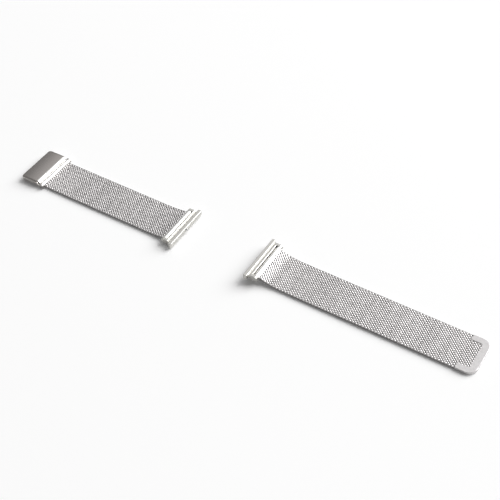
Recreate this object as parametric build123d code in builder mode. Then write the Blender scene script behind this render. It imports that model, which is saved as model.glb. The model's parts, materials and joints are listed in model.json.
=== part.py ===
"""Milanese mesh band in two halves, laid flat, outer face up.

The origin is on the surface under the middle of the watch case, X runs along the band towards the tail,
Y across it, Z up. The short half (clasp) runs along -X, the long half (tail) along +X.
A station u is a distance from the origin along the half that a piece belongs to.
"""

import os
from math import atan2, cos, degrees, hypot, radians, sin

from build123d import *

os.makedirs("parts", exist_ok=True)

# Driving dimensions, in millimetres and degrees
case_length = 45.0
mesh_width = 18.0
mesh_thickness = 1.3
tip_reach = 120.0
clasp_pin_reach = 92.9
short_pivot_height = 1.9
long_pivot_height = 3.2

# Clearances
running_clearance = 0.05
side_clearance = 0.1
ear_side_clearance = 0.35
swing_gap = 0.1

# Adapter: rail in the case's slot, neck, cross bar and two ears
slot_mouth_depth = 1.6
bar_depth = 1.0
bar_corner = 0.35
neck_depth = 0.8
neck_height = 1.4
neck_length = 21.0
rail_depth = 1.8
rail_height = 2.4
rail_length = 24.0
rail_end_radius = 0.7
rail_edge_radius = 0.35
ear_width = 1.2
ear_skin = 0.05

# Detent in the middle of the rail
plunger_radius = 0.6
plunger_reach = 0.5
plunger_dome = 0.25
plunger_flange_radius = 0.85
plunger_flange_thickness = 0.3
mouth_lip = 0.3
pocket_back_wall = 0.2
detent_wire = 0.16
detent_turns = 3

# Spring bar between the ears
bar_tube_radius = 0.75
bar_bore_radius = 0.5
bar_end_gap = 0.15
crimp_length = 0.4
tip_shank_length = 3.0
tip_radius = 0.38
tip_engagement = 0.8
tip_hole_spare = 0.15
bar_wire = 0.14
bar_turns = 20

# End tube on each half of the mesh
end_tube_wall = 0.4
end_tube_tongue = 0.08

# Mesh: hinged segments, each standing for several interlinked rows
first_run = 6.1
second_run = 8.0
short_first_height = 1.0
long_first_height = 1.4
short_even_segments = 7
long_even_segments = 8
tip_segment_length = 10.0
lip_share = 0.55

# Openings through the mesh: a coarse grid that stands for the gaps between the strands
opening_columns = 9
opening_row_pitch = 2.0
opening_length = 1.1
opening_width = 0.6
opening_margin = 0.2
opening_slant_angle = -27.0

# Tip trim
trim_length = 8.0
trim_strip = 3.0
trim_leg = 2.7
trim_thickness = 1.5
trim_skin = 0.25
trim_wall = 0.3
trim_overhang = 0.1
trim_corner = 4.0
trim_window_corner = 0.8
trim_edge = 0.12

# Clasp end bar and its pin
end_bar_radius = 1.25
end_bar_tongue = 1.35
end_bar_lip = 0.05
end_bar_slope_angle = 30.0
end_pin_radius = 0.6

# Clasp frame
clasp_ear_radius = 1.3
frame_wall = 0.75
frame_floor = 0.6
frame_base_thickness = 0.45
frame_front_gap = 0.25
frame_base_depth = 5.2
frame_corner = 0.3
arch_height = 1.15
arch_run = 1.5
boss_radius = 0.7
link_drop_angle = 25.0
link_height = 0.9

# Clasp lid, its pin and the toothed bar in its curl
lid_pin_offset = 2.7
lid_pin_height = 1.75
lid_pin_radius = 0.35
lid_thickness = 0.55
lid_overlap = 0.1
lid_reach = 9.2
lid_drop = 0.2
lid_crown = 0.12
lid_nose_radius = 1.0
lid_cheek = 0.55
lid_curl_angle = 70.0
lid_corner = 1.1
lid_edge = 0.35
mouth_height = 1.35
tooth_count = 12
tooth_width = 0.8
tooth_height = 0.25
tooth_angle = -45.0
tooth_spread = 18.0

# Stations and half widths that follow from the sizes above
end_tube_radius = bar_tube_radius + running_clearance + end_tube_wall
ear_radius = end_tube_radius + ear_skin
bar_height = 2 * ear_radius
bar_face = end_tube_radius + swing_gap
bar_back = bar_face + bar_depth
pivot_reach = case_length / 2 - slot_mouth_depth + bar_back
rail_mid = bar_back + neck_depth + rail_depth / 2
rail_face = rail_mid + rail_depth / 2
pocket_depth = rail_depth - mouth_lip - pocket_back_wall
ear_inner = mesh_width / 2 + ear_side_clearance
ear_mid = ear_inner + ear_width / 2
adapter_half = ear_inner + ear_width
end_tube_half = ear_inner - side_clearance
bar_tube_half = ear_inner - bar_end_gap
tip_hole_radius = tip_radius + running_clearance
tip_hole_depth = tip_engagement + tip_hole_spare
shank_radius = bar_bore_radius - running_clearance
shank_end = bar_tube_half - crimp_length
shank_start = shank_end - tip_shank_length
nose_radius = mesh_thickness / 2
seat_radius = nose_radius + running_clearance
lip_start = lip_share * nose_radius
opening_column_pitch = mesh_width / opening_columns
flat_height = trim_thickness / 2
trim_half = mesh_width / 2 + trim_overhang
window_half = trim_half - trim_leg
window_length = trim_length - trim_strip
trim_start = tip_reach - trim_length
frame_inner = mesh_width / 2 + ear_side_clearance
frame_outer = frame_inner + frame_wall
lid_half = frame_outer + lid_overlap
lid_mid_half = frame_inner - side_clearance
lid_pin_station = clasp_pin_reach + lid_pin_offset
lid_nose = lid_pin_station + lid_reach
lock_bar_radius = boss_radius + running_clearance
lid_swing_radius = lock_bar_radius + lid_thickness
frame_front = lid_nose - lid_thickness - frame_front_gap
frame_back = frame_front - frame_base_depth
wall_top = lid_pin_height + boss_radius
wall_front_top = wall_top - lid_drop


class Half:
    """One half of the band: its name, its direction along X and the places of its hinges."""

    def __init__(self, name, heading, pivot_height, first_height, even_segments, last_hinge):
        self.name = name
        self.heading = heading
        self.pivot_height = pivot_height
        even_start = pivot_reach + first_run + second_run
        pitch = (last_hinge - even_start) / even_segments
        self.hinges = [(pivot_reach, pivot_height), (pivot_reach + first_run, first_height)]
        self.hinges += [(even_start + n * pitch, flat_height) for n in range(even_segments + 1)]

    def plane(self, station=0, height=0, angle=0):
        """A section plane across the half: local X runs outward, local Y up, origin at the station."""
        turn = radians(angle)
        return Plane(
            origin=(self.heading * station, 0, height),
            x_dir=(self.heading * cos(turn), 0, sin(turn)),
            z_dir=(0, -self.heading, 0),
        )

    def bar_plane(self):
        """The section plane whose origin is the spring bar's axis."""
        return self.plane(pivot_reach, self.pivot_height)

    def segment(self, n):
        """The section plane that runs from hinge n to the next one, and the distance between them."""
        (u0, z0), (u1, z1) = self.hinges[n], self.hinges[n + 1]
        angle = degrees(atan2(z1 - z0, u1 - u0))
        return self.plane(u0, z0, angle), hypot(u1 - u0, z1 - z0)


end_bar_face = clasp_pin_reach - end_bar_tongue
short = Half("short", -1, short_pivot_height, short_first_height, short_even_segments, end_bar_face)
long = Half(
    "long",
    1,
    long_pivot_height,
    long_first_height,
    long_even_segments,
    tip_reach - tip_segment_length,
)


def save(builder, name):
    """Label a finished piece and write it."""
    builder.part.label = name
    export_step(builder.part, f"parts/{name}.step")


def make_adapter(half):
    """Rail, neck, cross bar and ears in one piece, bored for the detent and the spring bar's tips."""
    plane = half.bar_plane()
    rail_plane = Plane(
        origin=(half.heading * (pivot_reach - rail_mid), 0, half.pivot_height - rail_height / 2)
    )
    with BuildPart() as adapter:
        with BuildSketch(rail_plane):
            RectangleRounded(rail_depth, rail_length, rail_end_radius)
        extrude(amount=rail_height)
        rims = adapter.edges().group_by(Axis.Z)
        fillet(rims[0] + rims[-1], radius=rail_edge_radius)
        with BuildSketch(plane):
            with Locations((-(bar_back + neck_depth / 2), 0)):
                Rectangle(neck_depth + 2 * bar_corner, neck_height)
        extrude(amount=neck_length / 2, both=True)
        with BuildSketch(plane):
            with Locations((-(bar_face + bar_back) / 2, 0)):
                RectangleRounded(bar_depth, bar_height, bar_corner)
        extrude(amount=adapter_half, both=True)
        for side in (1, -1):
            with BuildSketch(plane.offset(side * ear_mid)):
                with Locations((-bar_face / 2, 0)):
                    Rectangle(bar_face + 2 * bar_corner, bar_height)
                Circle(ear_radius)
            extrude(amount=ear_width / 2, both=True)
            with BuildSketch(plane.offset(side * (ear_inner + tip_hole_depth / 2))):
                Circle(tip_hole_radius)
            extrude(amount=tip_hole_depth / 2, both=True, mode=Mode.SUBTRACT)
        with BuildSketch(detent_plane(half)):
            Circle(plunger_radius + running_clearance)
        extrude(amount=mouth_lip, mode=Mode.SUBTRACT)
        with BuildSketch(detent_plane(half).offset(mouth_lip)):
            Circle(plunger_flange_radius + running_clearance)
        extrude(amount=pocket_depth, mode=Mode.SUBTRACT)
    save(adapter, f"{half.name}_adapter")


def detent_plane(half):
    """On the rail's inner face, facing outward along the half."""
    return Plane(
        origin=(half.heading * (pivot_reach - rail_face), 0, half.pivot_height),
        x_dir=(0, 1, 0),
        z_dir=(half.heading, 0, 0),
    )


def make_detent(half):
    """Domed plunger held behind the mouth's lip by its flange, with the spring behind it."""
    plane = detent_plane(half)
    with BuildPart() as plunger:
        with BuildSketch(plane.offset(-plunger_reach)):
            Circle(plunger_radius)
        extrude(amount=plunger_reach + mouth_lip)
        rim = plunger.edges().sort_by(Axis((0, 0, 0), (half.heading, 0, 0)))[0]
        fillet(rim, radius=plunger_dome)
        with BuildSketch(plane.offset(mouth_lip)):
            Circle(plunger_flange_radius)
        extrude(amount=plunger_flange_thickness)
    save(plunger, f"{half.name}_detent_plunger")
    room = pocket_depth - plunger_flange_thickness
    start = plane.offset(mouth_lip + plunger_flange_thickness + detent_wire / 2)
    make_coil(
        f"{half.name}_detent_spring",
        start,
        room - detent_wire,
        plunger_flange_radius - detent_wire,
        detent_wire,
        detent_turns,
    )


def make_coil(name, start, height, radius, wire, turns):
    """A coil spring of round wire, wound about the start plane's normal."""
    with BuildPart() as coil:
        with BuildLine():
            path = Helix(height / turns, height, radius, center=start.origin, direction=start.z_dir)
        with BuildSketch(Plane(origin=path @ 0, z_dir=path % 0)):
            Circle(wire / 2)
        sweep(path=path, is_frenet=True)
    save(coil, name)


def make_spring_bar(half):
    """Tube with crimped mouths, a shouldered tip at each end and one spring that pushes both out."""
    plane = half.bar_plane()
    with BuildPart() as tube:
        with BuildSketch(plane):
            Circle(bar_tube_radius)
            Circle(tip_radius + running_clearance, mode=Mode.SUBTRACT)
        extrude(amount=bar_tube_half, both=True)
        with BuildSketch(plane):
            Circle(bar_bore_radius)
        extrude(amount=shank_end, both=True, mode=Mode.SUBTRACT)
    save(tube, f"{half.name}_bar_tube")
    for side, place in ((1, "near"), (-1, "far")):
        side *= half.heading
        with BuildPart() as tip:
            with BuildSketch(plane.offset(side * (shank_start + shank_end) / 2)):
                Circle(shank_radius)
            extrude(amount=tip_shank_length / 2, both=True)
            reach = ear_inner + tip_engagement - shank_end
            with BuildSketch(plane.offset(side * (shank_end + reach / 2))):
                Circle(tip_radius)
            extrude(amount=reach / 2, both=True)
        save(tip, f"{half.name}_bar_tip_{place}")
    height = 2 * shank_start - bar_wire
    make_coil(
        f"{half.name}_bar_spring",
        plane.offset(-height / 2),
        height,
        shank_radius - bar_wire / 2,
        bar_wire,
        bar_turns,
    )


def make_end_tube(half):
    """Bright tube that the spring bar runs through, with a flat where the mesh is welded on."""
    plane, _ = half.segment(0)
    with BuildPart() as tube:
        with BuildSketch(plane):
            Circle(end_tube_radius)
            with Locations(((end_tube_radius + end_tube_tongue) / 2, 0)):
                Rectangle(end_tube_radius + end_tube_tongue, mesh_thickness)
            Circle(bar_tube_radius + running_clearance, mode=Mode.SUBTRACT)
        extrude(amount=end_tube_half, both=True)
    save(tube, f"{half.name}_end_tube")


def segment_outline(start, stop, seat, nose):
    """Section of one mesh segment along local X, with a hollow seat behind and a round nose ahead."""
    with Locations(((start + stop) / 2, 0)):
        Rectangle(stop - start, mesh_thickness)
    if nose:
        with Locations((stop, 0)):
            Circle(nose_radius)
    if seat:
        Circle(seat_radius, mode=Mode.SUBTRACT)


def opening_grid(start, stop, half_width):
    """Plan of the slanted openings between two distances along a segment, in as many rows as fit."""
    rows = max(1, round((stop - start) / opening_row_pitch))
    columns = round(2 * (half_width - opening_margin) / opening_column_pitch)
    with BuildSketch(Plane.XY, mode=Mode.PRIVATE) as grid:
        with Locations(((start + stop) / 2, 0)):
            with GridLocations((stop - start) / rows, opening_column_pitch, rows, columns):
                Rectangle(opening_length, opening_width, rotation=opening_slant_angle)
    return grid.sketch


def make_mesh(half):
    """The half's mesh segments, hinged nose to seat. The long half's last one is made with the trim."""
    for n in range(len(half.hinges) - 1):
        plane, length = half.segment(n)
        first = n == 0
        last_short = half is short and n == len(half.hinges) - 2
        start = end_tube_radius + end_tube_tongue if first else lip_start
        open_start = (start if first else seat_radius) + opening_margin
        with BuildPart() as mesh:
            with BuildSketch(plane):
                segment_outline(start, length, seat=not first, nose=not last_short)
            extrude(amount=mesh_width / 2, both=True)
            plan = Plane(origin=plane.origin, x_dir=plane.x_dir, z_dir=plane.y_dir)
            with BuildSketch(plan.offset(-mesh_thickness / 2)):
                add(opening_grid(open_start, length, mesh_width / 2))
            extrude(amount=mesh_thickness, mode=Mode.SUBTRACT)
        save(mesh, f"{half.name}_mesh_{n + 1:02d}")


def tail_outline(inset, half_width, corner):
    """Plan of the tail's end, drawn in from the trim's outline by an inset, with rounded outer corners."""
    length = trim_length - inset
    with BuildSketch(Plane.XY, mode=Mode.PRIVATE) as tail:
        with Locations((trim_start + length / 2, 0)):
            Rectangle(length, 2 * half_width)
        fillet(tail.vertices().group_by(Axis.X)[-1], radius=corner)
    return tail.sketch


def window_outline(gap):
    """Plan of the trim's window, in which the mesh shows, drawn in by a gap, with rounded inner corners."""
    length = window_length - gap
    with BuildSketch(Plane.XY, mode=Mode.PRIVATE) as opening:
        with Locations((trim_start + length / 2, 0)):
            Rectangle(length, 2 * (window_half - gap))
        fillet(opening.vertices().group_by(Axis.X)[-1], radius=trim_window_corner)
    return opening.sketch


def make_trim():
    """U-shaped pressed trim, hollow between its two skins, where the tail's thinned edge sits."""
    with BuildPart() as trim:
        with BuildSketch():
            add(tail_outline(0, trim_half, trim_corner))
        extrude(amount=trim_thickness)
        rims = trim.edges().group_by(Axis.Z)
        fillet(rims[0].filter_by(Axis.X, reverse=True) + rims[-1].filter_by(Axis.X, reverse=True), trim_edge)
        with BuildSketch():
            add(window_outline(0))
        extrude(amount=trim_thickness, mode=Mode.SUBTRACT)
        with BuildSketch(Plane.XY.offset(trim_skin)):
            add(tail_outline(trim_wall, trim_half - trim_wall, trim_corner - trim_wall))
        extrude(amount=trim_thickness - 2 * trim_skin, mode=Mode.SUBTRACT)
    save(trim, "tip_trim")


def make_tail_mesh():
    """The long half's last segment: full thickness up to the trim and in its window, thinned inside it."""
    start, height = long.hinges[-1]
    plane = long.plane(start, height)
    with BuildPart() as mesh:
        with BuildSketch(plane):
            segment_outline(lip_start, trim_start - running_clearance - start, seat=True, nose=False)
        extrude(amount=mesh_width / 2, both=True)
        with BuildSketch(Plane.XY.offset(trim_skin)):
            add(tail_outline(trim_wall, trim_half - trim_wall, trim_corner - trim_wall))
            with Locations((trim_start, 0)):
                Rectangle(2 * running_clearance, mesh_width - 2 * trim_wall)
        extrude(amount=trim_thickness - 2 * trim_skin)
        with BuildSketch(Plane.XY.offset(flat_height - mesh_thickness / 2)):
            add(window_outline(running_clearance))
            with Locations((trim_start, 0)):
                Rectangle(2 * running_clearance, 2 * (window_half - running_clearance))
        extrude(amount=mesh_thickness)
        with BuildSketch(Plane.XY.offset(flat_height - mesh_thickness / 2)):
            open_stop = trim_start + window_length - opening_margin
            add(opening_grid(trim_start + opening_margin, open_stop, window_half))
        extrude(amount=mesh_thickness, mode=Mode.SUBTRACT)
    save(mesh, f"long_mesh_{len(long.hinges):02d}")


def make_end_bar():
    """Polished bar at the end of the short mesh, falling to a flat where the mesh is welded on."""
    plane = short.plane(clasp_pin_reach, clasp_ear_radius)
    low = flat_height - mesh_thickness / 2 - end_bar_lip - clasp_ear_radius
    high = flat_height + mesh_thickness / 2 + end_bar_lip - clasp_ear_radius
    slope = radians(end_bar_slope_angle)
    with BuildPart() as bar:
        with BuildSketch(plane):
            Circle(end_bar_radius)
            with BuildLine():
                Polyline(
                    (0, -end_bar_radius),
                    (-end_bar_tongue, low),
                    (-end_bar_tongue, high),
                    (-end_bar_radius * cos(slope), end_bar_radius * sin(slope)),
                    (0, 0),
                    close=True,
                )
            make_face()
            Circle(end_pin_radius, mode=Mode.SUBTRACT)
        extrude(amount=frame_inner - side_clearance, both=True)
    save(bar, "clasp_end_bar")


def make_pin(name, station, height, radius, half_length):
    """A plain round pin across the clasp."""
    with BuildPart() as pin:
        with BuildSketch(short.plane(station, height)):
            Circle(radius)
        extrude(amount=half_length, both=True)
    save(pin, name)


def wall_outline():
    """Side view of one frame wall: plate, boss round the lid's pin, link and ear round the end pin."""
    turn = radians(link_drop_angle)
    reach = lid_swing_radius + swing_gap
    link_top = (lid_pin_station - reach * cos(turn), lid_pin_height - reach * sin(turn))
    with BuildSketch(Plane.XY, mode=Mode.PRIVATE) as wall:
        with BuildLine():
            Polyline(
                (frame_front, frame_floor),
                (frame_back, frame_floor),
                (frame_back - arch_run, arch_height),
                (lid_pin_station, arch_height),
                (lid_pin_station, wall_top),
                (frame_front, wall_front_top),
                close=True,
            )
        make_face()
        with BuildLine():
            Polyline(
                (lid_pin_station, lid_pin_height),
                link_top,
                (clasp_pin_reach, clasp_ear_radius),
                (clasp_pin_reach, clasp_ear_radius - link_height),
                (frame_back - arch_run, arch_height),
                close=True,
            )
        make_face()
        with Locations((lid_pin_station, lid_pin_height)):
            Circle(boss_radius)
            Circle(lid_pin_radius, mode=Mode.SUBTRACT)
        with Locations((clasp_pin_reach, clasp_ear_radius)):
            Circle(clasp_ear_radius)
            Circle(end_pin_radius + running_clearance, mode=Mode.SUBTRACT)
    return wall.sketch


def make_frame():
    """Two side walls joined by the cross bar that the tail slides over."""
    with BuildPart() as frame:
        for side in (1, -1):
            with BuildSketch(short.plane().offset(side * (frame_inner + frame_wall / 2))):
                add(wall_outline())
            extrude(amount=frame_wall / 2, both=True)
        with BuildSketch(short.plane()):
            with Locations(((frame_front + frame_back) / 2, frame_floor + frame_base_thickness / 2)):
                Rectangle(frame_base_depth, frame_base_thickness)
        extrude(amount=frame_inner, both=True)
        foremost = frame.edges().filter_by(Axis.Y).group_by(Axis.X)[0]
        fillet(foremost.sort_by(Axis.Z)[0], radius=frame_corner)
    save(frame, "clasp_frame")


def lid_outline(curled):
    """Side view of the lid: crowned on top, bent down at the nose and, if curled, rolled about its pin."""
    axis = (lid_pin_station, lid_pin_height)
    top = lid_pin_height + lid_swing_radius
    nose_top = top - lid_drop
    bend = lid_nose - lid_nose_radius
    bend_height = nose_top - lid_nose_radius
    inner_bend = lid_nose_radius - lid_thickness
    crown = ((lid_pin_station + bend) / 2, (top + nose_top) / 2 + lid_crown)
    with BuildSketch(Plane.XY, mode=Mode.PRIVATE) as lid:
        with BuildLine():
            ThreePointArc((lid_pin_station, top), crown, (bend, nose_top))
            CenterArc((bend, bend_height), lid_nose_radius, 0, 90)
            Polyline(
                (lid_nose, bend_height),
                (lid_nose, bend_height - lid_cheek),
                (lid_nose - lid_thickness, bend_height - lid_cheek),
                (lid_nose - lid_thickness, bend_height),
            )
            CenterArc((bend, bend_height), inner_bend, 0, 90)
            Polyline(
                (bend, bend_height + inner_bend),
                (lid_pin_station, lid_pin_height + lock_bar_radius),
                (lid_pin_station, top),
            )
        make_face()
        if curled:
            with BuildLine():
                outside = CenterArc(axis, lid_swing_radius, 90, lid_curl_angle)
                inside = CenterArc(axis, lock_bar_radius, 90, lid_curl_angle)
                Line(outside @ 0, inside @ 0)
                Line(outside @ 1, inside @ 1)
            make_face()
    return lid.sketch


def lid_plan():
    """Plan of the lid, with its two nose corners rounded."""
    start = lid_pin_station - lid_swing_radius
    with BuildSketch(Plane.XY, mode=Mode.PRIVATE) as plan:
        with Locations((short.heading * (start + lid_nose) / 2, 0)):
            Rectangle(lid_nose - start, 2 * lid_half)
        fillet(plan.vertices().group_by(Axis.X)[0], radius=lid_corner)
    return plan.sketch


def make_lid():
    """Lid that covers the walls, with the tail's mouth left open in its nose between two cheeks."""
    side_width = lid_half - lid_mid_half
    mouth_top = frame_floor + frame_base_thickness + mouth_height
    with BuildPart() as lid:
        with BuildSketch(short.plane()):
            add(lid_outline(curled=True))
        extrude(amount=lid_mid_half, both=True)
        for side in (1, -1):
            with BuildSketch(short.plane().offset(side * (lid_half - side_width / 2))):
                add(lid_outline(curled=False))
            extrude(amount=side_width / 2, both=True)
        for flank in (lid.faces().sort_by(Axis.Y)[0], lid.faces().sort_by(Axis.Y)[-1]):
            arcs = flank.edges().filter_by(GeomType.CIRCLE).sort_by(SortBy.RADIUS)
            chamfer(arcs[-2:], length=lid_edge)
        with BuildSketch():
            add(lid_plan())
        extrude(amount=lid_pin_height + 2 * lid_swing_radius, mode=Mode.INTERSECT)
        with BuildSketch(short.plane()):
            with Locations((lid_nose, mouth_top - lid_nose_radius)):
                Rectangle(2 * lid_nose_radius, 2 * lid_nose_radius)
        extrude(amount=lid_mid_half, both=True, mode=Mode.SUBTRACT)
    save(lid, "clasp_lid")


def make_lock_bar():
    """Bar welded in the lid's curl, bored for the pin, with a row of teeth that face the tail."""
    pitch = 2 * lid_mid_half / tooth_count
    root = lock_bar_radius - tooth_height / 2
    points = [(root, tooth_angle - tooth_spread), (root, tooth_angle + tooth_spread)]
    points.insert(1, (lock_bar_radius + tooth_height, tooth_angle))
    with BuildPart() as bar:
        with BuildSketch(short.plane(lid_pin_station, lid_pin_height)):
            Circle(lock_bar_radius)
            Circle(lid_pin_radius + running_clearance, mode=Mode.SUBTRACT)
        extrude(amount=lid_mid_half, both=True)
        for n in range(tooth_count):
            place = (n + 1 / 2) * pitch - lid_mid_half
            with BuildSketch(short.plane(lid_pin_station, lid_pin_height).offset(place)):
                with BuildLine():
                    Polyline(
                        *[(r * cos(radians(a)), r * sin(radians(a))) for r, a in points],
                        close=True,
                    )
                make_face()
            extrude(amount=tooth_width / 2, both=True)
    save(bar, "lid_lock_bar")


for band_half in (short, long):
    make_adapter(band_half)
    make_detent(band_half)
    make_spring_bar(band_half)
    make_end_tube(band_half)
    make_mesh(band_half)
make_trim()
make_tail_mesh()
make_end_bar()
make_pin("clasp_end_pin", clasp_pin_reach, clasp_ear_radius, end_pin_radius, frame_outer)
make_pin("lid_hinge_pin", lid_pin_station, lid_pin_height, lid_pin_radius, frame_outer)
make_frame()
make_lid()
make_lock_bar()
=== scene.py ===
import json
from math import cos, pi, radians, sin

import bpy
import numpy as np
from mathutils import Matrix, Vector


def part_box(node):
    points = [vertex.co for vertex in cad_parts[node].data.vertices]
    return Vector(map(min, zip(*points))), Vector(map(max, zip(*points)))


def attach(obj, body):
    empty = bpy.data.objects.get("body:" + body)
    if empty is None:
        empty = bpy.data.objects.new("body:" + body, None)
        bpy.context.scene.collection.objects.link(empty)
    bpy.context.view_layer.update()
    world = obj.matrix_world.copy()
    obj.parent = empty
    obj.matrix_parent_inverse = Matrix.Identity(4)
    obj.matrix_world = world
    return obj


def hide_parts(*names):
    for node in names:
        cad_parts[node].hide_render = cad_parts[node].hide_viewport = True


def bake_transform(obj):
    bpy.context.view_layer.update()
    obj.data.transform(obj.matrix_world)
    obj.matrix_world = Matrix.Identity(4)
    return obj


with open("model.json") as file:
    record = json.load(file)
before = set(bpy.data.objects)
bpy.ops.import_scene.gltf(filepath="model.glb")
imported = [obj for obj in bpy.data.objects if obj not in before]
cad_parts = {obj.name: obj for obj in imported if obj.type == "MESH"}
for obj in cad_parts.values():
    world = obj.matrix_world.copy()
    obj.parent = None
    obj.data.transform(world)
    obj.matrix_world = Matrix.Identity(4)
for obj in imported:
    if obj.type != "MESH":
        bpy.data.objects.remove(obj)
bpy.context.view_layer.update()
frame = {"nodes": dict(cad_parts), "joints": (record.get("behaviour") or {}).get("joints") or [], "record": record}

MM = 0.001

# Camera, fitted to the photograph
image_width = 500
sensor_width = 36.0
focal_pixels = 1010.0
camera_azimuth = 35.4
camera_elevation = 47.1
camera_roll = -4.2
camera_target = Vector((11.2, 4.8, 0)) * MM
camera_distance = 432 * MM

# Weave: flattened coils across the band, each hooked through the next
random_seed = 7
curve_steps = 4000
row_pitch = 0.714 * MM
turns_across = 14.5
edge_margin = 0.25 * MM
coil_reach = 0.61 * MM
wire_half_thickness = 0.16 * MM
wire_half_width = 0.30 * MM
rolled_depth = 0.08 * MM
flatness = 0.16
bluntness = -0.05
slope_step = 1e-3
wire_end_shares = ((0.55, 0.83), (0.9, 0.42))  # reach in half thicknesses, and width
wear_share = 0.5
turn_tone_share = 0.6
steps_per_turn = 18
wire_sides = 8
seam_clearance = 0.02 * MM
tube_weld_depth = 0.3 * MM
bar_weld_depth = 0.75 * MM

# Welded side edges: a strip that swells at each pair of coil ends
strip_middle = 0.21 * MM
strip_half_width = 0.165 * MM
strip_swell = 0.03 * MM
strip_height_share = 0.9
strip_swell_share = 0.06
strip_squareness = 0.55
# Painted shade on the strip's side faces: a dark tone where a mask of its height is low
strip_side_tone = -12.0
strip_shade_share = 0.45
strip_shade_fade = 0.2
strip_steps = 8
strip_sides = 12

# Clasp lid: a crowned plate with rounded rims, rolled round its pin and bent down at the nose
lid_swing_radius = 1.3 * MM
lid_thickness = 0.55 * MM
lid_rim_width = 1.0 * MM
lid_rim_depth = 0.5 * MM
lid_rim_steps = 6
lid_drop = 0.2 * MM
lid_crown = 0.12 * MM
lid_nose_radius = 1.0 * MM
lid_corner = 1.5 * MM
lid_mouth_top = 2.4 * MM
lid_curl_angle = 125
lid_curl_steps = 24
lid_top_steps = 28
lid_nose_steps = 10
lid_cheek_steps = 8
sharp_angle = 40.0

# Finish of the wire: low down between the coils, duller and darker, where the darker colour is painted shade, and
# flat where it was rolled
low_wire_shaded_colour = (0.532, 0.516, 0.514, 1)
flat_wire_colour = (0.608, 0.591, 0.589, 1)
low_wire_roughness = 0.42
flat_wire_roughness = 0.24
tone_strength = 0.05

# Brushed finish of the lid
lid_colour = (0.428, 0.4, 0.383)
lid_roughness = 0.24
streak_scale = 9000
streak_stretch = 0.04
streak_detail = 3
streak_contrast = 0.08
streak_gloss_contrast = 0.15
streak_strength = 0.1
streak_depth = 0.01 * MM

# Other steel, by material slot: colour, roughness, patches in a metre and their contrast
plain_finishes = {
    "bright_steel": ((0.86, 0.85, 0.835), 0.26, 900, 0.05),
    "pressed_steel": ((0.55, 0.53, 0.51), 0.35, 1500, 0.12),
    "adapter_steel": ((0.62, 0.61, 0.58), 0.38, 3000, 0.1),
    "trim_steel": ((0.595, 0.58, 0.58), 0.30, 1600, 0.2),
    "turned_steel": ((0.6, 0.6, 0.6), 0.3, 2500, 0.08),
    "spring_wire": ((0.5, 0.5, 0.5), 0.3, 900, 0.05),
}

# Tail end inside the trim
trim_leg = 2.7 * MM
trim_strip = 3.0 * MM
tuck = 0.9 * MM

# Floor and light. Directions are azimuth from +X towards +Y and elevation, in degrees.
floor_reach = 2.0
floor_level = -0.02 * MM
floor_colour = 0.97
floor_lift = 0.06
window_azimuth = 85.0
window_elevation = 46.0
window_inner_angle = 34.0
window_outer_angle = 50.0
sill_low = 14.0
sill_high = 30.0
window_strength = 0.84
room_strength = 0.11
backdrop_level = 0.95
backdrop_gloss = 0.33
lamp_azimuth = 57.0
lamp_elevation = 35.0
lamp_distance = 6.0
lamp_size = 5.2
lamp_power = 430.0

# Sizes taken from the solids
slab_low, slab_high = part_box("long_mesh_05")
weave_half_width = slab_high.y - edge_margin
weave_half_height = (slab_high.z - slab_low.z) / 2 - seam_clearance
trim_low, trim_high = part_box("tip_trim")
bar_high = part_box("clasp_end_bar")[1]
lid_low, lid_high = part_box("clasp_lid")
lid_nose = -lid_low.x
mouth_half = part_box("lid_lock_bar")[1].y
lid_pin = Vector(next(j["pos_m"] for j in frame["joints"] if j["name"] == "lid_hinge"))
mesh_start = min(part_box("long_mesh_01")[0].x, -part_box("short_mesh_01")[1].x)


def smooth(t):
    """0 below 0, 1 above 1 and a soft step between."""
    t = np.clip(t, 0, 1)
    return t * t * (3 - 2 * t)


class Half:
    """One half of the band: its name, heading along X, hinge points and the weave's curve."""

    def __init__(self, name, heading, start, stop):
        self.name = name
        self.heading = heading
        places = {j["name"]: j["pos_m"] for j in frame["joints"] if "pos_m" in j}
        names = [f"{name}_adapter_pivot", f"{name}_curl"]
        names += sorted(n for n in places if n.startswith(f"{name}_bend"))
        self.hinges = [(abs(places[n][0]), places[n][2]) for n in names]
        self.start = start
        self.stop = stop
        self.trace_curve()

    def trace_curve(self):
        """Heights along the half: through the hinges, starting at the first segment's slope."""
        u, z = (np.array(v) for v in zip(*self.hinges))
        slopes = np.zeros(len(u))
        slopes[0] = (z[1] - z[0]) / (u[1] - u[0])
        slopes[1] = (slopes[0] + (z[2] - z[1]) / (u[2] - u[1])) / 2
        self.u = np.linspace(u[0], self.stop, curve_steps)
        n = np.clip(np.searchsorted(u, self.u, side="right") - 1, 0, len(u) - 2)
        run = u[n + 1] - u[n]
        t = np.clip((self.u - u[n]) / run, 0, 1)
        self.z = (
            (2 * t**3 - 3 * t**2 + 1) * z[n]
            + (t**3 - 2 * t**2 + t) * run * slopes[n]
            + (3 * t**2 - 2 * t**3) * z[n + 1]
            + (t**3 - t**2) * run * slopes[n + 1]
        )
        self.length = np.concatenate([[0], np.cumsum(np.hypot(np.diff(self.u), np.diff(self.z)))])

    def length_at(self, station):
        """Length along the curve at a station."""
        return np.interp(station, self.u, self.length)

    def at(self, length):
        """Station, height and slope angle at a length along the curve."""
        u = np.interp(length, self.length, self.u)
        z = np.interp(length, self.length, self.z)
        slope = np.interp(u, self.u, np.gradient(self.z, self.u))
        return u, z, np.arctan(slope)

    def rows(self):
        """Lengths along the curve at which the coils' middles lie."""
        end = coil_reach + wire_half_thickness
        first = self.length_at(self.start) + end - tube_weld_depth
        last = self.length[-1] - end
        count = round((last - first) / row_pitch) + 1
        return np.linspace(first, last, count)

    def middle(self, n):
        """The middle of segment n, where one piece of the weave ends and the next starts."""
        ends = self.hinges + [(self.stop, self.hinges[-1][1])]
        (u0, z0), (u1, z1) = ends[n], ends[n + 1]
        return Vector((self.heading * (u0 + u1) / 2, 0, (z0 + z1) / 2))


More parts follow.
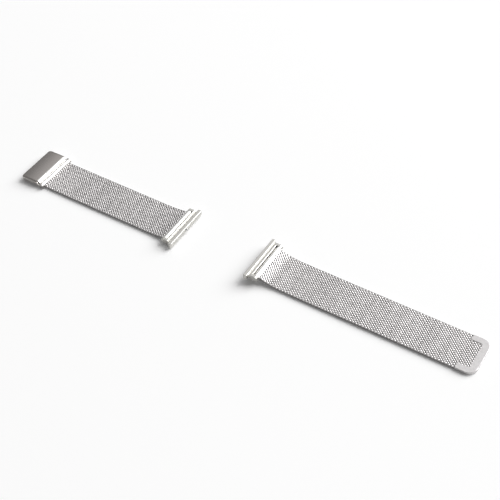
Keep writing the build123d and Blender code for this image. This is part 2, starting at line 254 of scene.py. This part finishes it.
def coil_points(half_width, odd):
    """Rings of one coil about its own middle: arrays of places and of a mask, ring by ring, that is 1 where the
    wire is rolled flat and 0 low down between the coils, where its darker colour is painted shade.
    """
    pitch = 2 * weave_half_width / turns_across
    count = int(round(2 * half_width / pitch * steps_per_turn))
    y = np.linspace(-half_width, half_width, count + 1)
    phase = 2 * pi * (y - weave_half_width) / pitch + odd * pi
    height = weave_half_height - wire_half_thickness

    def path(p):
        along = coil_reach * (np.cos(p) + bluntness * np.cos(3 * p)) / (1 + bluntness)
        up = height * (np.sin(p) + flatness * np.sin(3 * p)) / (1 - flatness)
        return along, up

    along, up = path(phase)
    (a0, h0), (a1, h1) = path(phase - slope_step), path(phase + slope_step)
    da, dh = (a1 - a0) / (2 * slope_step), (h1 - h0) / (2 * slope_step)
    dy = np.full_like(da, pitch / (2 * pi))
    tangent = np.stack([da, dy, dh], 1)
    tangent /= np.linalg.norm(tangent, axis=1)[:, None]
    out = np.stack([dh, np.zeros_like(da), -da], 1)
    out /= np.linalg.norm(out, axis=1)[:, None]
    wide = np.cross(tangent, out)
    centre = np.stack([along, y, up], 1)

    # closed round ends
    reaches, widths = np.array(wire_end_shares).T
    before = centre[0] - tangent[0] * wire_half_thickness * reaches[::-1, None]
    after = centre[-1] + tangent[-1] * wire_half_thickness * reaches[:, None]
    centre = np.concatenate([before, centre, after])
    ends = len(reaches)
    out = np.concatenate([[out[0]] * ends, out, [out[-1]] * ends])
    wide = np.concatenate([[wide[0]] * ends, wide, [wide[-1]] * ends])
    scale = np.concatenate([widths[::-1], np.ones(count + 1), widths])

    turn = 2 * pi * (np.arange(wire_sides) + 0.5) / wire_sides
    thick = wire_half_thickness * scale[:, None] * np.cos(turn)
    broad = wire_half_width * scale[:, None] * np.sin(turn)
    ring = centre[:, None] + out[:, None] * thick[..., None] + wide[:, None] * broad[..., None]
    flat = weave_half_height - rolled_depth
    # Mask: 1 on the rolled-flat faces, 0 low down between the coils, where the darker colour is painted shade
    wear = smooth((np.abs(ring[..., 2]) / flat - wear_share) / (1 - wear_share))
    ring[..., 2] = np.clip(ring[..., 2], -flat, flat)
    return ring, wear


def tube_faces(rings, sides):
    """Quads between consecutive rings, and a polygon that closes either end."""
    r = np.arange(rings - 1)[:, None] * sides
    s = np.arange(sides)[None, :]
    after = (s + 1) % sides
    quads = np.stack([r + s, r + after, r + sides + after, r + sides + s], -1).reshape(-1, 4)
    return quads, np.arange(sides)[::-1], (rings - 1) * sides + np.arange(sides)


class Tubes:
    """Collects closed tubes, each made of rings of places, for one mesh."""

    def __init__(self):
        self.places, self.quads, self.ends = [], [], []
        self.values = {}
        self.total = 0

    def add(self, rings, **values):
        """Adds one tube, with named values for its points."""
        quads, first, last = tube_faces(rings.shape[0], rings.shape[1])
        self.places.append(rings.reshape(-1, 3))
        self.quads.append(quads + self.total)
        self.ends += [first + self.total, last + self.total]
        for key, value in values.items():
            self.values.setdefault(key, []).append(np.broadcast_to(value, rings.shape[:2]).ravel())
        self.total += rings.shape[0] * rings.shape[1]

    def mesh(self, name):
        """The mesh object of all the tubes added."""
        values = {key: np.concatenate(value) for key, value in self.values.items()}
        return new_mesh(name, np.concatenate(self.places), np.concatenate(self.quads), self.ends, values)


def strip_points(half, start, stop, rows, side):
    """Rings of one welded edge between two lengths, and a mask that is 1 on its top and bottom and 0 on its side
    faces, which are given painted shade.
    """
    pitch = rows[1] - rows[0]
    count = max(2, round((stop - start) / (2 * pitch) * strip_steps))
    length = np.linspace(start, stop, count + 1)[:, None]
    swell = side * np.sin(pi * (length - rows[0]) / pitch)
    turn = (2 * pi * np.arange(strip_sides) / strip_sides)[None, :]

    def squared(value):
        return np.sign(value) * np.abs(value) ** strip_squareness

    middle = slab_high.y - strip_middle + strip_swell * swell
    y = half.heading * (side * middle + strip_half_width * squared(np.cos(turn)))
    up = weave_half_height * (strip_height_share + strip_swell_share * swell) * squared(np.sin(turn))
    u, z, slope = half.at(length)
    x = half.heading * (u - up * np.sin(slope))
    h = z + up * np.cos(slope)
    rings = np.stack([x, np.broadcast_to(y, x.shape), h], -1)
    if side * half.heading < 0:
        rings = rings[:, ::-1]
        up = up[:, ::-1]
    # Painted shade: the side faces get a mask of 0, so the darker wire colour and a much darker tone
    wear = smooth((np.abs(up) / weave_half_height - strip_shade_share) / strip_shade_fade)
    return rings, wear


def new_mesh(name, places, quads, polygons, attributes):
    """A mesh object from arrays: places, quads, larger polygons and named values of the points."""
    data = bpy.data.meshes.new(name)
    corners = np.concatenate([quads.ravel(), *polygons]).astype(np.int32)
    totals = np.array([4] * len(quads) + [len(p) for p in polygons], np.int32)
    starts = np.concatenate([[0], np.cumsum(totals)[:-1]]).astype(np.int32)
    data.vertices.add(len(places))
    data.vertices.foreach_set("co", places.astype(np.float32).ravel())
    data.loops.add(len(corners))
    data.loops.foreach_set("vertex_index", corners)
    data.polygons.add(len(totals))
    data.polygons.foreach_set("loop_start", starts)
    data.polygons.foreach_set("use_smooth", np.ones(len(totals), bool))
    data.update(calc_edges=True)
    for key, values in attributes.items():
        layer = data.attributes.new(key, "FLOAT", "POINT")
        layer.data.foreach_set("value", values.astype(np.float32))
    data.validate()
    obj = bpy.data.objects.new(name, data)
    bpy.context.scene.collection.objects.link(obj)
    return obj


def coil_tone(rings, random):
    """Tone along one coil: its own, and one that changes from turn to turn."""
    tone = random.normal(0, 1) + turn_tone_share * random.normal(0, 1, rings // steps_per_turn + 1)
    return np.interp(np.arange(rings) / steps_per_turn, np.arange(len(tone)), tone)


def make_weave(half, material, random):
    """The half's coils and side edges, in pieces split at the middles of its segments."""
    rows = half.rows()
    u, z, slope = half.at(rows)
    pieces = len(half.hinges) - 1
    bounds = [abs(half.middle(n).x) for n in range(1, pieces)] + [np.inf]
    in_trim_start = trim_low.x - coil_reach / 2
    tucked_half = trim_high.y - trim_leg + tuck

    shapes = {}
    place = 0
    edge_start = half.length_at(half.start) - tube_weld_depth
    edge_stop = half.length_at(trim_low.x) if half.name == "long" else half.length[-1]
    for n, bound in enumerate(bounds, start=1):
        tubes = Tubes()
        while place < len(rows) and u[place] <= bound:
            tucked = half.name == "long" and u[place] > in_trim_start
            key = (tucked, place % 2)
            if key not in shapes:
                shapes[key] = coil_points(tucked_half if tucked else weave_half_width, place % 2)
            ring, wear = shapes[key]
            along, y, up = ring[..., 0], ring[..., 1] * half.heading, ring[..., 2]
            x = half.heading * (u[place] + along * cos(slope[place]) - up * sin(slope[place]))
            h = z[place] + along * sin(slope[place]) + up * cos(slope[place])
            tone = coil_tone(len(ring), random)
            tubes.add(np.stack([x, y, h], -1), wear=wear, tone=tone[:, None])
            place += 1
        reach = min(edge_stop, half.length_at(bound))
        for side in (1, -1):
            rings, wear = strip_points(half, edge_start, reach, rows, side)
            # The edge strips' side faces are darkened through their tone as painted shade
            tubes.add(rings, wear=wear, tone=strip_side_tone * (1 - wear))
        edge_start = reach

        piece = tubes.mesh(f"{half.name}_weave_{n:02d}")
        piece.data.materials.append(material)
        inner, outer = f"{half.name}_mesh_{n:02d}", f"{half.name}_mesh_{n + 1:02d}"
        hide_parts(*([inner, outer] if n == pieces else [inner]))
        half.middle(n - 1)
        half.middle(n)
        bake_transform(piece)


def turned(angle):
    """Unit vectors, as station and height, at angles from the way to the band's outer end."""
    return np.stack([np.cos(angle), np.sin(angle)], 1)


def nose_bend():
    """Middle of the arc that bends the lid down at its nose, as station and height."""
    top = lid_pin.z + lid_swing_radius - lid_drop
    return np.array([lid_nose - lid_nose_radius, top - lid_nose_radius])


def lid_profile():
    """Outer side view of the lid's plate from above its pin to the mouth: places and outward normals."""
    a = np.array([-lid_pin.x, lid_pin.z + lid_swing_radius])
    b = nose_bend() + np.array([0, lid_nose_radius])
    half_chord = np.linalg.norm(b - a) / 2
    radius = (half_chord**2 + lid_crown**2) / (2 * lid_crown)
    along = (b - a) / (2 * half_chord)
    centre = (a + b) / 2 - np.array([-along[1], along[0]]) * (radius - lid_crown)
    sweep = np.linspace(-1, 1, lid_top_steps) * np.arcsin(half_chord / radius)
    top = turned(pi / 2 + np.arctan2(along[1], along[0]) - sweep)
    mouth = np.arcsin((lid_mouth_top - nose_bend()[1]) / lid_nose_radius)
    nose = turned(np.linspace(pi / 2, mouth, lid_nose_steps)[1:])
    places = np.concatenate([centre + radius * top, nose_bend() + lid_nose_radius * nose])
    return places, np.concatenate([top, nose])


def cheek_profile(mouth):
    """Outer side view of a cheek, from the mouth's upper edge down: places and outward normals."""
    first = np.arctan2(*(mouth - nose_bend())[::-1])
    normals = turned(np.linspace(first, 0, lid_cheek_steps))
    places = nose_bend() + lid_nose_radius * normals
    return np.append(places, [[lid_nose, lid_low.z]], 0), np.append(normals, normals[-1:], 0)


def lid_width(station):
    """Half width of the lid at a station: less at the nose, whose corners are rounded in plan."""
    into = np.clip(station - (lid_nose - lid_corner), 0, lid_corner)
    return lid_high.y - lid_corner + np.sqrt(lid_corner**2 - into**2)


def lid_rings(places, normals):
    """Half sections of the lid at each place of its side view: across, station and height."""
    turn = np.linspace(0, pi / 2, lid_rim_steps + 1)
    rim_in = np.append(lid_rim_width * (1 - np.sin(turn)), 0)
    down = np.append(lid_rim_depth * (1 - np.cos(turn)), lid_thickness)
    u = places[:, :1] - down * normals[:, :1]
    z = places[:, 1:] - down * normals[:, 1:]
    return lid_width(u) - rim_in, u, z


def add_plate(tubes, places, normals):
    """The lid's plate, whose sections run from one rim to the other."""
    across, u, z = lid_rings(places, normals)
    sections = [(-u, -u), (-across, across), (z, z)]
    tubes.add(np.stack([np.concatenate([a[:, ::-1], b], 1) for a, b in sections], -1))


def add_cheeks(tubes, places, normals):
    """The two cheeks beside the mouth, whose sections run from the rim to the mouth's side and back."""
    across, u, z = lid_rings(places, normals)
    inner = np.minimum(mouth_half, across - seam_clearance)
    for side in (1, -1):
        sections = [(-u, -u), (side * across, side * inner), (z, z)]
        rings = np.stack([np.concatenate([a, b[:, ::-1]], 1) for a, b in sections], -1)
        tubes.add(rings[:, ::side])


def add_curl(tubes):
    """The curl round the lid's pin, which ends where the plate starts."""
    angle = radians(90) + np.linspace(radians(lid_curl_angle), 0, lid_curl_steps)[:, None]
    radii = lid_swing_radius - lid_thickness * np.array([0, 0, 1, 1])
    y = np.broadcast_to(mouth_half * np.array([-1, 1, 1, -1]), (lid_curl_steps, 4))
    tubes.add(np.stack([lid_pin.x - radii * np.cos(angle), y, lid_pin.z + radii * np.sin(angle)], -1))


def make_lid(satin, bright):
    """The lid in two finishes: the plate with its cheeks, and the curl."""
    plate, curl = Tubes(), Tubes()
    places, normals = lid_profile()
    add_plate(plate, places, normals)
    add_cheeks(plate, *cheek_profile(places[-1]))
    add_curl(curl)
    kinds = (("lid_plate", plate, "satin_steel", satin), ("lid_curl", curl, "bright_steel", bright))
    for name, shape, slot, material in kinds:
        piece = shape.mesh(name)
        piece.data.set_sharp_from_angle(angle=radians(sharp_angle))
        piece.data.materials.append(material)
        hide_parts("clasp_lid")
        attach(piece, "clasp_lid")


def steel_material(name):
    """A metal material, with its node tree and its Principled shader."""
    material = bpy.data.materials.new(name)
    material.use_nodes = True
    tree = material.node_tree
    shader = tree.nodes["Principled BSDF"]
    shader.inputs["Metallic"].default_value = 1.0
    return material, tree, shader


def add_node(tree, kind, **settings):
    """A new node of the tree, with its settings."""
    node = tree.nodes.new(f"ShaderNode{kind}")
    for key, value in settings.items():
        setattr(node, key, value)
    return node


def mix_colours(tree, factor, a, b):
    """Output that goes from colour a to colour b with the factor."""
    mix = add_node(tree, "Mix", data_type="RGBA")
    mix.inputs["A"].default_value = a
    mix.inputs["B"].default_value = b
    tree.links.new(factor, mix.inputs["Factor"])
    return mix.outputs["Result"]


def spread(tree, value, low, high):
    """Output that goes from low to high with a value from 0 to 1."""
    node = add_node(tree, "MapRange")
    node.inputs["To Min"].default_value = low
    node.inputs["To Max"].default_value = high
    tree.links.new(value, node.inputs["Value"])
    return node.outputs["Result"]


def around(colour, contrast):
    """A darker and a lighter colour beside the one given."""
    darker = (*(c * (1 - contrast) for c in colour), 1)
    return darker, (*(min(1, c * (1 + contrast)) for c in colour), 1)


def mesh_steel():
    """Wire: bright where rolling has flattened it, duller and darker down between the coils, where the darker
    colour is painted shade; the tone also paints the edge strips' side faces much darker, as painted shade.
    """
    material, tree, shader = steel_material("woven_mesh")
    wear = add_node(tree, "Attribute", attribute_name="wear").outputs["Fac"]
    # The tone attribute holds each coil's random tone and the painted shade of the edge strips' side faces
    tone = add_node(tree, "Attribute", attribute_name="tone").outputs["Fac"]
    value = add_node(tree, "Math", operation="MULTIPLY_ADD")
    value.inputs[1].default_value = tone_strength
    value.inputs[2].default_value = 1.0
    tree.links.new(tone, value.inputs[0])
    shade = add_node(tree, "HueSaturation")
    tree.links.new(value.outputs[0], shade.inputs["Value"])
    tree.links.new(mix_colours(tree, wear, low_wire_shaded_colour, flat_wire_colour), shade.inputs["Color"])
    tree.links.new(shade.outputs["Color"], shader.inputs["Base Color"])
    roughness = spread(tree, wear, low_wire_roughness, flat_wire_roughness)
    tree.links.new(roughness, shader.inputs["Roughness"])
    return material


def plain_steel(name, colour, roughness, grain, contrast):
    """Steel whose colour varies in soft patches: grain is their number in a metre."""
    material, tree, shader = steel_material(name)
    place = add_node(tree, "TexCoord")
    noise = add_node(tree, "TexNoise")
    noise.inputs["Scale"].default_value = grain
    tree.links.new(place.outputs["Object"], noise.inputs["Vector"])
    patches = mix_colours(tree, noise.outputs["Fac"], *around(colour, contrast))
    tree.links.new(patches, shader.inputs["Base Color"])
    shader.inputs["Roughness"].default_value = roughness
    return material


def brushed_steel(name, colour, roughness):
    """Satin steel brushed across the band: fine streaks in its colour, gloss and surface."""
    material, tree, shader = steel_material(name)
    place = add_node(tree, "TexCoord")
    stretch = add_node(tree, "Mapping")
    stretch.inputs["Scale"].default_value = (1, streak_stretch, 1)
    tree.links.new(place.outputs["Object"], stretch.inputs["Vector"])
    noise = add_node(tree, "TexNoise")
    noise.inputs["Scale"].default_value = streak_scale
    noise.inputs["Detail"].default_value = streak_detail
    tree.links.new(stretch.outputs["Vector"], noise.inputs["Vector"])
    streaks = noise.outputs["Fac"]
    shade = mix_colours(tree, streaks, *around(colour, streak_contrast))
    tree.links.new(shade, shader.inputs["Base Color"])
    low, high = roughness * (1 - streak_gloss_contrast), roughness * (1 + streak_gloss_contrast)
    tree.links.new(spread(tree, streaks, low, high), shader.inputs["Roughness"])
    bump = add_node(tree, "Bump")
    bump.inputs["Strength"].default_value = streak_strength
    bump.inputs["Distance"].default_value = streak_depth
    tree.links.new(streaks, bump.inputs["Height"])
    tree.links.new(bump.outputs["Normal"], shader.inputs["Normal"])
    return material


def dress_nodes():
    """Gives each solid that shows the steel of its material slot."""
    made = {slot: plain_steel(slot, *values) for slot, values in plain_finishes.items()}
    for part in frame["record"]["subparts"]:
        if part["material_slot"] in made:
            node = frame["nodes"][part["node"]]
            node.data.materials.clear()
            node.data.materials.append(made[part["material_slot"]])


def make_camera():
    """The photograph's camera: right of the band's near side, looking down at it."""
    azimuth, elevation, roll = (radians(a) for a in (camera_azimuth, camera_elevation, camera_roll))
    back = Vector((sin(azimuth) * cos(elevation), -cos(azimuth) * cos(elevation), sin(elevation)))
    right = Vector((0, 0, 1)).cross(back).normalized()
    up = back.cross(right)
    right, up = cos(roll) * right + sin(roll) * up, -sin(roll) * right + cos(roll) * up
    data = bpy.data.cameras.new("camera")
    data.sensor_width = sensor_width
    data.lens = focal_pixels * sensor_width / image_width
    camera = bpy.data.objects.new("camera", data)
    bpy.context.scene.collection.objects.link(camera)
    place = Matrix((right, up, back)).transposed().to_4x4()
    place.translation = camera_target + back * camera_distance
    camera.matrix_world = place
    bpy.context.scene.camera = camera


def direction(azimuth, elevation):
    """Unit vector towards an azimuth and elevation in degrees."""
    azimuth, elevation = radians(azimuth), radians(elevation)
    return Vector((cos(azimuth) * cos(elevation), sin(azimuth) * cos(elevation), sin(elevation)))


def seen_rays(tree, camera_level, gloss_level):
    """Output with a level for camera rays, one for glossy and transmission rays, and else 0."""
    path = add_node(tree, "LightPath")
    gloss = add_node(tree, "Math", operation="MAXIMUM")
    tree.links.new(path.outputs["Is Glossy Ray"], gloss.inputs[0])
    tree.links.new(path.outputs["Is Transmission Ray"], gloss.inputs[1])
    camera = add_node(tree, "Math", operation="MULTIPLY")
    camera.inputs[1].default_value = camera_level
    tree.links.new(path.outputs["Is Camera Ray"], camera.inputs[0])
    level = add_node(tree, "Math", operation="MULTIPLY_ADD")
    level.inputs[1].default_value = gloss_level
    tree.links.new(gloss.outputs[0], level.inputs[0])
    tree.links.new(camera.outputs[0], level.inputs[2])
    return level.outputs[0]


def make_floor():
    """A pale floor just under the part, a little lifted on the rays that see it."""
    data = bpy.data.meshes.new("floor")
    signs = ((-1, -1), (1, -1), (1, 1), (-1, 1))
    corners = [(x * floor_reach, y * floor_reach, floor_level) for x, y in signs]
    data.from_pydata(corners, [], [(0, 1, 2, 3)])
    floor = bpy.data.objects.new("floor", data)
    bpy.context.scene.collection.objects.link(floor)
    material = bpy.data.materials.new("floor")
    material.use_nodes = True
    tree = material.node_tree
    tree.nodes.clear()
    diffuse = add_node(tree, "BsdfDiffuse")
    diffuse.inputs["Color"].default_value = (floor_colour, floor_colour, floor_colour, 1)
    glow = add_node(tree, "Emission")
    tree.links.new(seen_rays(tree, floor_lift, floor_lift), glow.inputs["Strength"])
    both = add_node(tree, "AddShader")
    tree.links.new(diffuse.outputs[0], both.inputs[0])
    tree.links.new(glow.outputs[0], both.inputs[1])
    output = add_node(tree, "OutputMaterial")
    tree.links.new(both.outputs[0], output.inputs["Surface"])
    data.materials.append(material)


def soft_step(tree, value, low, high, level):
    """Output that rises softly from 0 to level as the value goes from low to high."""
    node = add_node(tree, "MapRange", interpolation_type="SMOOTHSTEP")
    node.inputs["From Min"].default_value = low
    node.inputs["From Max"].default_value = high
    node.inputs["To Max"].default_value = level
    tree.links.new(value, node.inputs["Value"])
    return node.outputs["Result"]


def make_world():
    """A dim room with a broad soft window behind the band, and a pale backdrop where it is seen."""
    world = bpy.data.worlds.new("studio")
    bpy.context.scene.world = world
    world.use_nodes = True
    tree = world.node_tree
    place = add_node(tree, "TexCoord").outputs["Generated"]
    towards = add_node(tree, "VectorMath", operation="DOT_PRODUCT")
    towards.inputs[1].default_value = direction(window_azimuth, window_elevation)
    tree.links.new(place, towards.inputs[0])
    outer, inner = cos(radians(window_outer_angle)), cos(radians(window_inner_angle))
    window = soft_step(tree, towards.outputs["Value"], outer, inner, 1.0)
    height = add_node(tree, "SeparateXYZ")
    tree.links.new(place, height.inputs[0])
    low, high = sin(radians(sill_low)), sin(radians(sill_high))
    sill = soft_step(tree, height.outputs["Z"], low, high, window_strength)
    light = add_node(tree, "Math", operation="MULTIPLY_ADD")
    light.inputs[2].default_value = room_strength
    tree.links.new(window, light.inputs[0])
    tree.links.new(sill, light.inputs[1])
    level = add_node(tree, "Math", operation="MAXIMUM")
    tree.links.new(light.outputs[0], level.inputs[0])
    tree.links.new(seen_rays(tree, backdrop_level, backdrop_gloss), level.inputs[1])
    backdrop = tree.nodes["Background"]
    backdrop.inputs["Color"].default_value = (1, 1, 1, 1)
    tree.links.new(level.outputs[0], backdrop.inputs["Strength"])


def make_lamp():
    """A large round lamp to the right of the window's middle."""
    light = bpy.data.lights.new("key", "AREA")
    light.shape = "DISK"
    light.size = lamp_size
    light.energy = lamp_power
    lamp = bpy.data.objects.new("key", light)
    bpy.context.scene.collection.objects.link(lamp)
    towards = direction(lamp_azimuth, lamp_elevation)
    lamp.location = towards * lamp_distance
    lamp.rotation_euler = (-towards).to_track_quat("-Z", "Y").to_euler()


make_camera()
make_floor()
make_world()
make_lamp()
dress_nodes()
woven = mesh_steel()
long = Half("long", 1, mesh_start, trim_high.x - trim_strip + tuck)
short = Half("short", -1, mesh_start, -bar_high.x + bar_weld_depth)
random = np.random.default_rng(random_seed)
make_weave(long, woven, random)
make_weave(short, woven, random)
satin = brushed_steel("satin_steel", lid_colour, lid_roughness)
# The frame loads a plain bright steel under this name, and the curl wears that one
make_lid(satin, bpy.data.materials["bright_steel"])
bpy.context.scene.view_settings.view_transform = "Standard"
